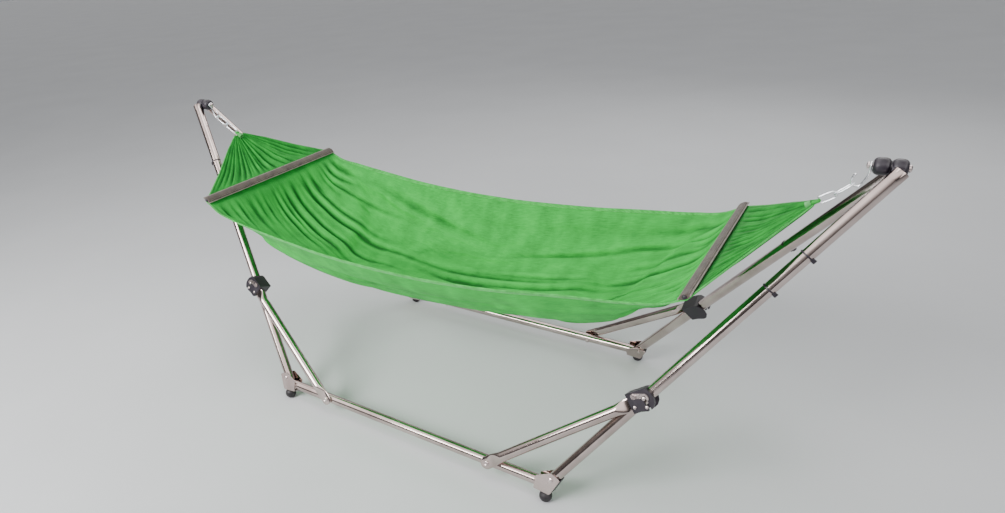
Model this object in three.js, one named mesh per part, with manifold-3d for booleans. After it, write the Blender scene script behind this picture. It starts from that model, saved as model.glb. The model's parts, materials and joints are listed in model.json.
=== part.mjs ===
// Hammock on a folding A-frame stand. Units are millimetres, +Z is up, X runs along the hammock
// and the origin is on the floor under the middle of the stand.
//
// The stand is two equal side frames, front (-Y) and rear (+Y), that lean together and are hinged
// at both top ends about one line parallel to X. Each side frame is drawn once, as its right half
// hanging plumb from the hinge line, and is then mirrored and tilted into place.
import * as THREE from "three";
import { mergeVertices } from "three/addons/utils/BufferGeometryUtils.js";
import { ConvexGeometry } from "three/addons/geometries/ConvexGeometry.js";
import Module from "manifold-3d";

const wasm = await Module();
wasm.setup();

// ---- driving dimensions -------------------------------------------------------------------
const HINGE_HEIGHT = 948; // hinge line above the floor
const BASE_AXIS_HEIGHT = 51; // axis of each base tube above the floor
const BASE_HALF_WIDTH = 379; // floor plan: base tube axis to the middle of the stand
const CORNER_X = 516.6; // where the axes of base tube and upright cross
const TOP_X = 1173.3; // middle of the upright's top end
const TOP_BELOW_HINGE = 27; // the same point, below the hinge line along the frame
const PLANE_OFFSET = 17; // tube axes lie this far outside the hinge line
const TUBE_R = 16;
const TUBE_WALL = 1.2;
const TUBE_SIDES = 20;
const GAP = 0.4; // clearance between pieces that touch

const STRUT_PIVOT_X = 325.9;
const STRUT_SHARE = 0.3426; // where the strut meets the upright, as a share of its length
const STRUT_OUT = 20; // strut axis outside the tube axes
const FLAT_HALF = 3; // half the thickness of a flattened tube end
const FLAT_WIDE = 22; // half its width
const RIVET_R = 4;

const GUSSET_PLATE = 2.5;
const FOOT_R = 19;
const FOOT_CENTRE_Z = 17;

const EYE_R = 20; // hinge knuckle eyes
const EYES = { rear: [1130, 1163.4], front: [1164, 1196] }; // where each eye starts and ends in X

const HOOK_WIRE_R = 2.75;
const HOOK_EYE_X = EYES.rear[0] - 0.5 - HOOK_WIRE_R;
const HOOK_BEND = { x: 1106, z: -41, r: 10.5 }; // below the hinge line

// ---- helpers ------------------------------------------------------------------------------
const v3 = (x, y, z) => new THREE.Vector3(x, y, z);
const rad = THREE.MathUtils.degToRad;

function solidOf(geometry) {
  const bare = geometry.index ? geometry.toNonIndexed() : geometry.clone();
  bare.deleteAttribute("normal");
  bare.deleteAttribute("uv");
  const merged = mergeVertices(bare, 1e-4);
  const mesh = new wasm.Mesh({
    numProp: 3,
    vertProperties: merged.attributes.position.array,
    triVerts: new Uint32Array(merged.index.array),
  });
  return new wasm.Manifold(mesh);
}

function geometryOf(solid) {
  const mesh = solid.getMesh();
  const geometry = new THREE.BufferGeometry();
  geometry.setAttribute("position", new THREE.BufferAttribute(mesh.vertProperties, 3));
  geometry.setIndex(new THREE.BufferAttribute(mesh.triVerts, 1));
  return geometry;
}

const join = (...parts) => geometryOf(parts.map(solidOf).reduce((a, b) => a.add(b)));

const cut = (body, ...tools) =>
  geometryOf(tools.map(solidOf).reduce((a, b) => a.subtract(b), solidOf(body)));

// Turns every face of a geometry round.
function flipped(geometry) {
  const g = geometry.index ? geometry.clone() : mergeVertices(geometry, 1e-6);
  const index = g.index.array;
  for (let i = 0; i < index.length; i += 3) {
    const keep = index[i + 1];
    index[i + 1] = index[i + 2];
    index[i + 2] = keep;
  }
  return g;
}

function mirrored(geometry, signX, signY) {
  const g = geometry.clone().scale(signX, signY, 1);
  return signX * signY < 0 ? flipped(g) : g;
}

// A solid of revolution about the line from a to b. The profile holds [radius, distance from a].
function turned(profile, a, b, sides) {
  const points = profile.map(([r, d]) => new THREE.Vector2(r, d));
  const geometry = new THREE.LatheGeometry(points, sides);
  const turn = new THREE.Quaternion().setFromUnitVectors(v3(0, 1, 0), b.clone().sub(a).normalize());
  return geometry.applyQuaternion(turn).translate(a.x, a.y, a.z);
}

function rod(r, a, b, sides = 16) {
  const length = a.distanceTo(b);
  return turned([[0, 0], [r, 0], [r, length], [0, length]], a, b, sides);
}

function pipe(r, wall, a, b, sides) {
  const length = a.distanceTo(b);
  const inner = r - wall;
  return turned([[inner, 0], [r, 0], [r, length], [inner, length], [inner, 0]], a, b, sides);
}

// A plate with its outline in X and Z, from y0 to y1.
function plate(shape, y0, y1, segments = 8) {
  const options = { depth: y1 - y0, bevelEnabled: false, curveSegments: segments };
  return new THREE.ExtrudeGeometry(shape, options).rotateX(Math.PI / 2).translate(0, y1, 0);
}

const outline = (points) => new THREE.Shape(points.map(([x, z]) => new THREE.Vector2(x, z)));

// A box that runs from a towards b, from side0 to side1 across (in the XZ plane) and y0 to y1.
function bar(a, b, start, end, side0, side1, y0, y1) {
  const along = b.clone().sub(a).normalize();
  const geometry = new THREE.BoxGeometry(end - start, y1 - y0, side1 - side0);
  geometry.translate((start + end) / 2, (y0 + y1) / 2, (side0 + side1) / 2);
  geometry.rotateY(-Math.atan2(along.z, along.x));
  return geometry.translate(a.x, 0, a.z);
}

// A skin through rings of points; every ring has the same number, and the last joins the first
// where closed is true. Otherwise the first and last rings are closed by the given end caps.
function skin(rings, closed) {
  const count = rings[0].length;
  const positions = rings.flat().flatMap((p) => [p.x, p.y, p.z]);
  const index = [];
  const spans = closed ? rings.length : rings.length - 1;
  for (let i = 0; i < spans; i++) {
    const next = (i + 1) % rings.length;
    for (let j = 0; j < count; j++) {
      const k = (j + 1) % count;
      index.push(i * count + j, i * count + k, next * count + j);
      index.push(next * count + j, i * count + k, next * count + k);
    }
  }
  if (!closed) {
    const last = (rings.length - 1) * count;
    for (let j = 1; j < count - 1; j++) {
      index.push(0, j + 1, j);
      index.push(last, last + j, last + j + 1);
    }
  }
  const geometry = new THREE.BufferGeometry();
  geometry.setAttribute("position", new THREE.Float32BufferAttribute(positions, 3));
  geometry.setIndex(index);
  return solidVolume(geometry) < 0 ? flipped(geometry) : geometry;
}

function solidVolume(geometry) {
  const p = geometry.attributes.position;
  const index = geometry.index.array;
  const at = (i) => v3().fromBufferAttribute(p, index[i]);
  let six = 0;
  for (let i = 0; i < index.length; i += 3) six += at(i).dot(at(i + 1).cross(at(i + 2)));
  return six / 6;
}

// Round wire along a flat curve: points in order, "up" square to the plane they lie in.
function wire(points, up, r, closed, sides = 8) {
  const rings = points.map((p, i) => {
    const before = closed ? points.at(i - 1) : points[Math.max(i - 1, 0)];
    const after = points[closed ? (i + 1) % points.length : Math.min(i + 1, points.length - 1)];
    const across = after.clone().sub(before).normalize().cross(up);
    return Array.from({ length: sides }, (_, j) => {
      const a = (2 * Math.PI * j) / sides;
      return p.clone().addScaledVector(up, r * Math.sin(a)).addScaledVector(across, r * Math.cos(a));
    });
  });
  return skin(rings, closed);
}

// ---- the side frame: right half of the front one, hanging plumb ----------------------------
const toBase = Math.hypot(BASE_HALF_WIDTH, HINGE_HEIGHT - BASE_AXIS_HEIGHT);
const TILT =
  Math.atan2(BASE_HALF_WIDTH, HINGE_HEIGHT - BASE_AXIS_HEIGHT) - Math.asin(PLANE_OFFSET / toBase);
const BASE_Z = -Math.sqrt(toBase ** 2 - PLANE_OFFSET ** 2); // base tube axis below the hinge line
const AXES_Y = -PLANE_OFFSET;

const corner = v3(CORNER_X, AXES_Y, BASE_Z);
const top = v3(TOP_X, AXES_Y, -TOP_BELOW_HINGE);
const up = top.clone().sub(corner).normalize();
const uprightLength = corner.distanceTo(top);
const onUpright = (distance) => corner.clone().addScaledVector(up, distance);
const across = v3(-up.z, 0, up.x); // in the frame's plane, square to the upright, inwards

const strutPivot = v3(STRUT_PIVOT_X, AXES_Y - STRUT_OUT, BASE_Z);
const meeting = onUpright(STRUT_SHARE * uprightLength);
const strutEnd = v3(meeting.x, strutPivot.y, meeting.z);
const strutDir = strutEnd.clone().sub(strutPivot).normalize();
const strutAcross = v3(-strutDir.z, 0, strutDir.x);
const strutLength = strutPivot.distanceTo(strutEnd);

const CORNER_RIVET_AT = 25; // along the upright
const cornerRivet = onUpright(CORNER_RIVET_AT);
const STUD_AT = STRUT_SHARE * uprightLength + 9;
const stud = onUpright(STUD_AT);
const latchPivot = meeting.clone().add(v3(-22, 0, 4));

const FRONT_WALL = AXES_Y - 30; // outer face of the clamp block
const INNER_WALL = AXES_Y + 20; // its inner face
const LATCH_BACK = FRONT_WALL - 0.5;
const LATCH_THICK = 3;

// A hole along Y through everything between y0 and y1.
const crossHole = (at, r, y0, y1, sides = 12) =>
  rod(r, v3(at.x, y0, at.z), v3(at.x, y1, at.z), sides);

function baseTube() {
  const end = CORNER_X - 11;
  const from = v3(-end, AXES_Y, BASE_Z);
  const to = v3(end, AXES_Y, BASE_Z);
  const holes = [-1, 1].map((side) =>
    crossHole(v3(side * STRUT_PIVOT_X, 0, BASE_Z), RIVET_R + GAP, AXES_Y - 30, AXES_Y + 30),
  );
  return cut(pipe(TUBE_R, TUBE_WALL, from, to, TUBE_SIDES), ...holes);
}

function upright() {
  const tube = pipe(TUBE_R, TUBE_WALL, onUpright(11), top, TUBE_SIDES);
  const rivetHole = crossHole(cornerRivet, RIVET_R + GAP, AXES_Y - 30, AXES_Y + 30);
  const studHole = crossHole(stud, 3.5 + GAP, AXES_Y - 30, AXES_Y - 10);
  return cut(tube, rivetHole, studHole);
}

// Two three-cornered cheeks joined by a web that folds under the base tube.
function gusset() {
  const cheek = [[-32, 19], [-34, -18.8], [14, -23], [19, -19], [40, 26], [36, 31], [14, 40], [8, 39]];
  const shape = outline(cheek.map(([x, z]) => [corner.x + x, corner.z + z]));
  const inner = TUBE_R + 0.6;
  const outer = inner + GUSSET_PLATE;
  const web = outline(
    [[-34, -18.8], [14, -23], [14, -20.6], [-34, -16.5]].map(([x, z]) => [corner.x + x, corner.z + z]),
  );
  const holes = crossHole(cornerRivet, RIVET_R + GAP, AXES_Y - 30, AXES_Y + 30);
  const cheeks = [-1, 1].map((side) => {
    const faces = [AXES_Y + side * inner, AXES_Y + side * outer].sort((a, b) => a - b);
    return plate(shape, faces[0], faces[1]);
  });
  const folded = join(...cheeks, plate(web, AXES_Y - inner - 1, AXES_Y + inner + 1));
  return cut(folded, holes);
}

// A rivet along Y with a domed outer head and a flat inner one.
function rivet(at, y0, y1, shank, head) {
  const long = y1 - y0;
  const profile = [
    [0, 0], [head * 0.55, 0.2], [head * 0.9, 1.4], [head, 3], [shank, 3],
    [shank, long - 2.2], [head * 0.8, long - 2.2], [head * 0.8, long], [0, long],
  ];
  return turned(profile, v3(at.x, y0, at.z), v3(at.x, y1, at.z), 12);
}

function cornerRivetPiece() {
  const outside = TUBE_R + 0.6 + GUSSET_PLATE + GAP;
  return rivet(cornerRivet, AXES_Y - outside - 3, AXES_Y + outside + 2.2, RIVET_R, 7.5);
}

function strutRivet() {
  const flatFace = STRUT_OUT + FLAT_HALF + GAP;
  return rivet(strutPivot, AXES_Y - flatFace - 3, AXES_Y + TUBE_R + GAP + 2.2, RIVET_R, 8.5);
}

// A round tube whose two ends are pressed flat, the top one mostly from inside. Stations: distance
// from the pivot, half width in the frame's plane, thickness inwards and outwards from the axis,
// and the roundness of the section (2 is an ellipse).
function strut() {
  const l = strutLength;
  const flat = [FLAT_HALF, FLAT_HALF, 4];
  const stations = [
    [-19, 6, ...flat], [-15, 14, ...flat], [-8, 19.5, ...flat], [4, FLAT_WIDE, ...flat],
    [20, FLAT_WIDE, ...flat], [32, 20.5, 6.5, 6.5, 3], [44, 18, 11.5, 11.5, 2.4],
    [58, TUBE_R, TUBE_R, TUBE_R, 2], [l - 98, TUBE_R, TUBE_R, TUBE_R, 2], [l - 87, 17, 12, 16, 2.1],
    [l - 76, 18, 7, 15.5, 2.3], [l - 64, 19.5, FLAT_HALF, 13.5, 2.6], [l - 52, 21.5, FLAT_HALF, 8, 3],
    [l - 42, FLAT_WIDE, ...flat], [l - 5, FLAT_WIDE, ...flat], [l + 3, 18, ...flat],
  ];
  const sides = 16;
  const section = (at, wide, inwards, outwards, power) =>
    Array.from({ length: sides }, (_, j) => {
      const a = (2 * Math.PI * j) / sides;
      const c = Math.sign(Math.cos(a)) * Math.abs(Math.cos(a)) ** (2 / power);
      const s = Math.sign(Math.sin(a)) * Math.abs(Math.sin(a)) ** (2 / power);
      return strutPivot.clone()
        .addScaledVector(strutDir, at)
        .addScaledVector(strutAcross, wide * c)
        .add(v3(0, (s > 0 ? inwards : outwards) * s, 0));
    });
  const thin = TUBE_WALL;
  const outer = stations.map(([at, w, i, o, n]) => section(at, w, i, o, n));
  const inner = stations.map(([at, w, i, o, n]) => section(at, w - thin, i - thin, o - thin, n));
  const shell = skin([...outer, ...inner.reverse()], true);
  return cut(shell, crossHole(strutPivot, RIVET_R + GAP, AXES_Y - 40, AXES_Y - 5));
}

// A black block riveted round the strut's flat top end. It is a U that takes the upright from
// inside and is open outwards, so it leaves the upright as the strut swings inwards.
function clampBlock() {
  const corners = [
    [-46, 2], [-12, -41], [4, -30], [26, -21], [32, -12], [33, 2], [28, 14], [20, 24], [4, 33], [-6, 29],
  ];
  const shape = outline(corners.map(([x, z]) => [meeting.x + x, meeting.z + z]));
  const body = plate(shape, FRONT_WALL, INNER_WALL);
  const grip = TUBE_R + 0.6;
  const far = onUpright(STRUT_SHARE * uprightLength + 100);
  const channel = rod(grip, onUpright(STRUT_SHARE * uprightLength - 100), far, 24);
  const mouth = bar(meeting, far, -100, 100, -80, 0, AXES_Y - grip, AXES_Y + grip);
  const socketY = [strutPivot.y - FLAT_HALF - GAP, AXES_Y - TUBE_R];
  const wide = FLAT_WIDE + 0.6;
  const socket = bar(strutPivot, strutEnd, strutLength - 80, strutLength + 4, -wide, wide, ...socketY);
  const away = stud.clone().sub(strutAcross);
  const slotY = [FRONT_WALL - 2, AXES_Y - TUBE_R];
  const slot = bar(stud, away, 0, 80, -4.6, 4.6, ...slotY);
  const slotEnd = crossHole(stud, 4.6, ...slotY);
  const pivotHole = crossHole(latchPivot, 3 + GAP, FRONT_WALL - 2, FRONT_WALL + 5.8);
  return cut(body, channel, mouth, socket, slot, slotEnd, pivotHole);
}

// A steel plate that turns on its own rivet and hooks over the catch stud from above.
function latch() {
  const y0 = LATCH_BACK - LATCH_THICK;
  const hook = { inner: 6.5, outer: 12, from: rad(-10), to: rad(200) };
  const claw = new THREE.Shape();
  claw.absarc(stud.x, stud.z, hook.outer, hook.from, hook.to, false);
  claw.absarc(stud.x, stud.z, hook.inner, hook.to, hook.from, true);
  const rim = (angle) => [
    stud.x + hook.outer * Math.cos(rad(angle)),
    stud.z + hook.outer * Math.sin(rad(angle)),
  ];
  const arm = outline([
    [latchPivot.x - 1, latchPivot.z - 8], rim(199), rim(160), rim(121), [latchPivot.x - 1, latchPivot.z + 8],
  ]);
  const boss = crossHole(latchPivot, 8, y0, LATCH_BACK, 16);
  const head = crossHole(latchPivot, 5.5, y0 - 2.4, y0 + 1, 12);
  const shank = crossHole(latchPivot, 3, y0 + 1, FRONT_WALL + 5);
  return join(plate(claw, y0, LATCH_BACK), plate(arm, y0, LATCH_BACK), boss, head, shank);
}

function catchStud() {
  const y0 = LATCH_BACK - LATCH_THICK - 3.6;
  const y1 = AXES_Y - 12;
  const profile = [[0, 0], [4, 0.2], [5, 1.2], [5, 2.8], [3.5, 2.8], [3.5, y1 - y0], [0, y1 - y0]];
  return turned(profile, v3(stud.x, y0, stud.z), v3(stud.x, y1, stud.z), 12);
}

// A spring clip round the upright, open on the inner side.
function tubeClip() {
  const at = onUpright(0.7 * uprightLength);
  const inner = TUBE_R + 0.5;
  const outer = TUBE_R + 2.8;
  const ring = new THREE.Shape();
  ring.absarc(0, 0, outer, rad(62), rad(298), false);
  ring.absarc(0, 0, inner, rad(298), rad(62), true);
  const options = { depth: 10, bevelEnabled: false, curveSegments: 14 };
  const geometry = new THREE.ExtrudeGeometry(ring, options);
  // The outline's +X becomes +Y of the frame, and its depth runs along the upright.
  const basis = new THREE.Matrix4().makeBasis(v3(0, 1, 0), up.clone().cross(v3(0, 1, 0)), up);
  return geometry.applyMatrix4(basis).translate(at.x, at.y, at.z);
}

// Black knuckle: a plug in the upright's top end, a neck, and an eye on the hinge bolt. The front
// and rear eyes lie side by side, and each neck is cut clear of the other eye.
function knuckle(side) {
  const [x0, x1] = EYES[side];
  const [other0, other1] = EYES[side === "front" ? "rear" : "front"];
  const seat = top.clone().addScaledVector(up, GAP);
  const points = [];
  for (let i = 0; i < 16; i++) {
    const a = (2 * Math.PI * i) / 16;
    const r = TUBE_R + 0.3;
    points.push(seat.clone().addScaledVector(across, r * Math.cos(a)).add(v3(0, r * Math.sin(a), 0)));
  }
  for (let i = 0; i <= 10; i++) {
    const a = rad(92 + (176 * i) / 10);
    for (const x of [x0, x1]) points.push(v3(x, EYE_R * Math.cos(a), EYE_R * Math.sin(a)));
  }
  const neck = new ConvexGeometry(points);
  const clear = rod(EYE_R + 0.9, v3(other0 - 0.4, 0, 0), v3(other1 + 0.4, 0, 0), 28);
  const eye = rod(EYE_R, v3(x0, 0, 0), v3(x1, 0, 0), 24);
  const tubeEnd = rod(TUBE_R + 0.5, onUpright(uprightLength - 60), seat, 24);
  const plugStart = top.clone().addScaledVector(up, -26);
  const plug = rod(TUBE_R - TUBE_WALL - 0.6, plugStart, seat.clone().addScaledVector(up, 2), 16);
  const bore = rod(RIVET_R + 0.5, v3(x0 - 30, 0, 0), v3(x1 + 30, 0, 0), 14);
  const boltHead = rod(9.5, v3(EYES.front[1] + 0.2, 0, 0), v3(x1 + 30, 0, 0), 20);
  const body = cut(join(cut(neck, clear), eye), tubeEnd);
  return cut(join(body, plug), bore, boltHead);
}

// A rubber ball with a flat underside, cut off under the gusset's web. Drawn as it stands.
function foot(frame) {
  const drop = (corner.clone().applyMatrix4(frame).z - FOOT_CENTRE_Z) / Math.cos(TILT);
  const centre = corner.clone().add(v3(0, 0, -drop)).applyMatrix4(frame);
  const low = -Math.acos(FOOT_CENTRE_Z / FOOT_R);
  const profile = [[0, 0]];
  for (let i = 0; i <= 8; i++) {
    const a = -Math.PI / 2 - low + ((Math.PI + low) * i) / 8;
    const r = i === 8 ? 0 : FOOT_R * Math.cos(a);
    profile.push([r, FOOT_CENTRE_Z + FOOT_R * Math.sin(a)]);
  }
  const floor = v3(centre.x, centre.y, 0);
  const ball = turned(profile, floor, v3(centre.x, centre.y, 100), 20);
  const web = new THREE.BoxGeometry(120, 120, 60);
  web.translate(corner.x, corner.y, corner.z - 24 + 30).applyMatrix4(frame);
  return cut(ball, web);
}

// ---- hangers, on the bisector of the two frames ----------------------------------------------
function hingeBolt() {
  const start = HOOK_EYE_X - 9.2;
  const shankEnd = EYES.front[1] + 0.8 - start;
  const profile = [
    [0, 0], [4.5, 0.3], [7.5, 2.4], [7.5, 5.6], [RIVET_R, 5.6], [RIVET_R, shankEnd],
    [8.5, shankEnd], [8.5, shankEnd + 3], [5.5, shankEnd + 5.6], [0, shankEnd + 6],
  ];
  return turned(profile, v3(start, 0, HINGE_HEIGHT), v3(start + 10, 0, HINGE_HEIGHT), 16);
}

function circle(centre, a, b, r, steps) {
  return Array.from({ length: steps }, (_, i) => {
    const t = (2 * Math.PI * i) / steps;
    return centre.clone().addScaledVector(a, r * Math.cos(t)).addScaledVector(b, r * Math.sin(t));
  });
}

// Bent wire: an eye on the hinge bolt, a slanting shank, a round bend and a short raised tip.
function hook() {
  const eyeAt = v3(HOOK_EYE_X, 0, HINGE_HEIGHT);
  const eyeR = RIVET_R + 0.7 + HOOK_WIRE_R;
  const eye = wire(circle(eyeAt, v3(0, 1, 0), v3(0, 0, 1), eyeR, 16), v3(1, 0, 0), HOOK_WIRE_R, true);
  const bend = [];
  for (let a = -48; a >= -185; a -= 17) {
    const x = HOOK_BEND.x + HOOK_BEND.r * Math.cos(rad(a));
    bend.push(v3(x, 0, HOOK_BEND.z + HOOK_BEND.r * Math.sin(rad(a))));
  }
  const shank = [v3(eyeAt.x, 0, -eyeR), v3(eyeAt.x - 0.5, 0, -18), v3(1122.5, 0, -31)];
  const tip = [v3(1096, 0, -33), v3(1099, 0, -26), v3(1102, 0, -21)];
  const curve = new THREE.CatmullRomCurve3([...shank, ...bend, ...tip]);
  const body = wire(curve.getSpacedPoints(26), v3(0, 1, 0), HOOK_WIRE_R, false);
  return join(eye, body.translate(0, 0, HINGE_HEIGHT));
}

// ---- the hammock --------------------------------------------------------------------------
// A steel link: straight sides and round ends, between the middles a and b of its end wires.
function link(a, b, flat, r, halfWidth) {
  const along = b.clone().sub(a).normalize();
  const side = flat.clone().cross(along).normalize();
  const points = [];
  const inset = halfWidth;
  const ends = [a.clone().addScaledVector(along, inset), b.clone().addScaledVector(along, -inset)];
  for (const [end, start] of [[ends[1], -90], [ends[0], 90]]) {
    for (let i = 0; i <= 6; i++) {
      const t = rad(start + i * 30);
      points.push(
        end.clone()
          .addScaledVector(along, halfWidth * Math.cos(t))
          .addScaledVector(side, halfWidth * Math.sin(t)),
      );
    }
  }
  return wire(points, flat, r, true, 8);
}

// The chain at one end, drawn at the right: slope of each link, their lengths and the wire.
const CHAINS = {
  right: { first: 42, second: 34, firstLong: 46, secondLong: 42, wire: 2, half: 8.5 },
  left: { first: 30.5, second: 30.5, firstLong: 58, secondLong: 62, wire: 3, half: 11.5 },
};

function chain(spec) {
  const down = (angle) => v3(-Math.cos(rad(angle)), 0, -Math.sin(rad(angle)));
  const bend = v3(HOOK_BEND.x, 0, HINGE_HEIGHT + HOOK_BEND.z);
  const pull = down(spec.first);
  const onHook = bend.addScaledVector(pull, HOOK_BEND.r - HOOK_WIRE_R - spec.wire - GAP);
  const firstEnd = onHook.clone().addScaledVector(pull, spec.firstLong);
  const next = down(spec.second);
  const secondStart = firstEnd.clone().addScaledVector(next, -2 * spec.wire - GAP);
  const secondEnd = secondStart.clone().addScaledVector(next, spec.secondLong);
  const square = v3(-pull.z, 0, pull.x);
  return {
    hookLink: link(onHook, firstEnd, square, spec.wire, spec.half),
    clothLink: link(secondStart, secondEnd, v3(0, 1, 0), spec.wire, spec.half),
    clothStart: secondEnd.clone().addScaledVector(next, spec.wire + 3),
  };
}

const chains = { left: chain(CHAINS.left), right: chain(CHAINS.right) };

// Cross-sections of the cloth: place along X, half width, height of its edges, and how far its
// middle hangs below them.
const BAND_X = { left: -838, right: 835 };
const CLOTH_SECTIONS = [
  [-chains.left.clothStart.x, 14, chains.left.clothStart.z, 0],
  [-960, 82, 810, 3],
  [-900, 197, 751, 6],
  [BAND_X.left, 318, 690, 7],
  [-790, 328, 668, 75],
  [-700, 336, 650, 150],
  [-550, 338, 630, 205],
  [-300, 337, 606, 238],
  [0, 335, 597, 242],
  [300, 326, 612, 232],
  [550, 312, 640, 185],
  [700, 308, 656, 132],
  [790, 307, 671, 70],
  [BAND_X.right, 307, 690, 7],
  [910, 191, 752, 6],
  [985, 80, 812, 3],
  [chains.right.clothStart.x, 14, chains.right.clothStart.z, 0],
];
const CLOTH_THICK = 5;
const TROUGH_POWER = 2.4;

function clothAt(share) {
  const place = share * (CLOTH_SECTIONS.length - 1);
  const i = Math.min(Math.floor(place), CLOTH_SECTIONS.length - 2);
  return CLOTH_SECTIONS[i].map((value, k) =>
    THREE.MathUtils.lerp(value, CLOTH_SECTIONS[i + 1][k], place - i),
  );
}

// One closed sheet, thickest where it is bunched at its two ends.
function cloth() {
  const long = 2 * (CLOTH_SECTIONS.length - 1);
  const wide = 12;
  const rings = [];
  for (let i = 0; i <= long; i++) {
    const [x, half, edge, sag] = clothAt(i / long);
    const bunch = Math.max(0, 1 - half / 120);
    const thick = CLOTH_THICK + 9 * bunch;
    const row = (side) =>
      Array.from({ length: wide + 1 }, (_, j) => {
        const v = (2 * j) / wide - 1;
        return v3(x, half * v, edge - sag * (1 - Math.abs(v) ** TROUGH_POWER) + (side * thick) / 2);
      });
    rings.push([...row(-1), ...row(1).reverse()]);
  }
  return skin(rings, false);
}

// A flat sleeve across the cloth with the spreader bar inside it.
const SLEEVE = { half: 17, thick: 6.6, above: 13, slope: 30, bar: 4.5 };

function sleeveFrame(end) {
  const sign = end === "right" ? 1 : -1;
  const [, half, edge] = CLOTH_SECTIONS.find((section) => section[0] === BAND_X[end]);
  const along = v3(sign * Math.cos(rad(SLEEVE.slope)), 0, Math.sin(rad(SLEEVE.slope)));
  const square = v3(-sign * Math.sin(rad(SLEEVE.slope)), 0, Math.cos(rad(SLEEVE.slope)));
  const middle = v3(BAND_X[end], 0, edge).addScaledVector(square, SLEEVE.above);
  return { half, along, square, middle };
}

function sleeve(end) {
  const { half, along, square, middle } = sleeveFrame(end);
  const ring = (y, wide, thick) =>
    circle(v3(0, 0, 0), along, square, 1, 14).map((p) => {
      const a = p.dot(along);
      const s = p.dot(square);
      const point = middle.clone().addScaledVector(along, a * wide).addScaledVector(square, s * thick);
      return point.add(v3(0, y, 0));
    });
  const steps = [-1, -0.5, 0, 0.5, 1].map((share) => share * half);
  const outer = steps.map((y) => ring(y, SLEEVE.half, SLEEVE.thick));
  const inner = steps.map((y) => ring(y, SLEEVE.bar + 1, SLEEVE.bar + 0.7)).reverse();
  return skin([...outer, ...inner], true);
}

function spreaderBar(end) {
  const { half, middle } = sleeveFrame(end);
  const reach = half - 6;
  return rod(SLEEVE.bar, middle.clone().add(v3(0, -reach, 0)), middle.clone().add(v3(0, reach, 0)), 12);
}

// ---- assembly -----------------------------------------------------------------------------
const finish = (color, roughness, metalness) => ({ color, roughness, metalness });
const STEEL = finish(0xd6cfca, 0.18, 1);
const ZINC = finish(0xdfe6ea, 0.3, 1);
const BLACK = finish(0x2a2430, 0.55, 0);
const RUBBER = finish(0x221c22, 0.8, 0);
const GREEN = finish(0x4fbf58, 0.85, 0);
const BROWN = finish(0x7a6a62, 0.9, 0);

const group = new THREE.Group();

function addTo(parent, name, geometry, look) {
  const mesh = new THREE.Mesh(geometry, new THREE.MeshStandardMaterial(look));
  mesh.name = name;
  parent.add(mesh);
}

const frameMatrix = new THREE.Matrix4()
  .makeTranslation(0, 0, HINGE_HEIGHT)
  .multiply(new THREE.Matrix4().makeRotationX(-TILT));

const CORNER_PIECES = [
  ["upright", upright(), STEEL],
  ["gusset", gusset(), STEEL],
  ["corner_rivet", cornerRivetPiece(), STEEL],
  ["strut", strut(), STEEL],
  ["strut_rivet", strutRivet(), STEEL],
  ["clamp_block", clampBlock(), BLACK],
  ["latch", latch(), STEEL],
  ["catch_stud", catchStud(), STEEL],
  ["tube_clip", tubeClip(), BLACK],
];
const KNUCKLES = { front: knuckle("front"), rear: knuckle("rear") };
const FOOT = foot(frameMatrix);

for (const [side, signY] of [["front", 1], ["rear", -1]]) {
  const frame = new THREE.Group();
  frame.position.z = HINGE_HEIGHT;
  frame.rotation.x = -signY * TILT;
  group.add(frame);
  addTo(frame, `${side}_base_tube`, mirrored(baseTube(), 1, signY), STEEL);
  for (const [end, signX] of [["left", -1], ["right", 1]]) {
    for (const [piece, geometry, look] of CORNER_PIECES)
      addTo(frame, `${side}_${end}_${piece}`, mirrored(geometry, signX, signY), look);
    addTo(frame, `${side}_${end}_hinge_knuckle`, mirrored(KNUCKLES[side], signX, signY), BLACK);
    addTo(group, `${side}_${end}_foot`, mirrored(FOOT, signX, signY), RUBBER);
  }
}

for (const [end, signX] of [["left", -1], ["right", 1]]) {
  addTo(group, `${end}_hinge_bolt`, mirrored(hingeBolt(), signX, 1), STEEL);
  addTo(group, `${end}_hook`, mirrored(hook(), signX, 1), ZINC);
  addTo(group, `${end}_hook_link`, mirrored(chains[end].hookLink, signX, 1), ZINC);
  addTo(group, `${end}_cloth_link`, mirrored(chains[end].clothLink, signX, 1), ZINC);
  addTo(group, `${end}_spreader_sleeve`, sleeve(end), BROWN);
  addTo(group, `${end}_spreader_bar`, spreaderBar(end), STEEL);
}
addTo(group, "hammock_cloth", cloth(), GREEN);

export default group;
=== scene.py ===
"""The looks of the hammock and its stand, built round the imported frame, in metres with +Z up."""
import json
import math
import random

import bmesh
import bpy
from mathutils import Matrix, Vector, noise


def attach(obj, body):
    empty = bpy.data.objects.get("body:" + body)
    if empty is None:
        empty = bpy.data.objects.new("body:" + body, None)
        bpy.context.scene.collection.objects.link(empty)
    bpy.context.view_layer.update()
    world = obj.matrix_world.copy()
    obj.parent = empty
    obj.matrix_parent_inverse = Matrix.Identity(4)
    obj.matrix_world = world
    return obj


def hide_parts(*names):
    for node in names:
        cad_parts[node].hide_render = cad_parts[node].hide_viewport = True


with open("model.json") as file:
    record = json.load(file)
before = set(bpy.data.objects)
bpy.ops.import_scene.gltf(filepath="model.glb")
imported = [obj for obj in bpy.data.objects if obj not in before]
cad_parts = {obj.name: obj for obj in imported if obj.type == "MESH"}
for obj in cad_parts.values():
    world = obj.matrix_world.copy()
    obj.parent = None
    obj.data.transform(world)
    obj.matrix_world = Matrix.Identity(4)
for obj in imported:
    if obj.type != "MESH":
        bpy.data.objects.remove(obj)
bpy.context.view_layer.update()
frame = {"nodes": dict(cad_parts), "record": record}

MM = 0.001
NODES = frame["nodes"]
SIDES = {"front": 1, "rear": -1}
ENDS = {"left": -1, "right": 1}

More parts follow.
